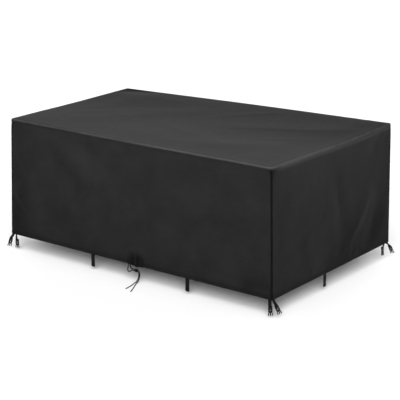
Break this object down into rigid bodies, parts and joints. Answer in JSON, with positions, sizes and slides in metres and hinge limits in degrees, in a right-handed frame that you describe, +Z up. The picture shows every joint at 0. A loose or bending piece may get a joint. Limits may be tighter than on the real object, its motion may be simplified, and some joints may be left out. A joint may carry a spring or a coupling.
{
  "type": "patio furniture cover",
  "caption": "Rectangular fitted cover for a patio furniture set, with corner buckle straps, hem tabs and a drawcord in the front hem.",
  "frame": {"origin": "underside of the top panel, over the middle of the furniture top that carries it", "axes": "+X along the long sides, -Y out of the front long side with the drawcord, +Z up"},
  "size_m": [2.1985, 1.5604, 0.9254],
  "materials": {
    "coated_cloth": "matt black coated woven polyester",
    "webbing": "black ribbed polypropylene webbing",
    "buckle_plastic": "black moulded plastic, slightly shiny",
    "drawcord": "black braided cord"
  },
  "bodies": {
    "root": {"back_panel": "coated_cloth", "buckle_back_left_back": "buckle_plastic", "buckle_back_left_left": "buckle_plastic", "buckle_back_right_back": "buckle_plastic", "buckle_back_right_right": "buckle_plastic", "buckle_front_left_front": "buckle_plastic", "buckle_front_left_left": "buckle_plastic", "buckle_front_right_front": "buckle_plastic", "buckle_front_right_right": "buckle_plastic", "cord_toggle": "buckle_plastic", "drawcord_a": "drawcord", "drawcord_b": "drawcord", "front_panel": "coated_cloth", "left_panel": "coated_cloth", "right_panel": "coated_cloth", "strap_back_left_back": "webbing", "strap_back_left_left": "webbing", "strap_back_right_back": "webbing", "strap_back_right_right": "webbing", "strap_front_left_front": "webbing", "strap_front_left_left": "webbing", "strap_front_right_front": "webbing", "strap_front_right_right": "webbing", "tab_back_left": "webbing", "tab_back_right": "webbing", "tab_front_left": "webbing", "tab_front_right": "webbing", "tab_left": "webbing", "tab_right": "webbing", "top_panel": "coated_cloth"}
  },
  "joints": []
}
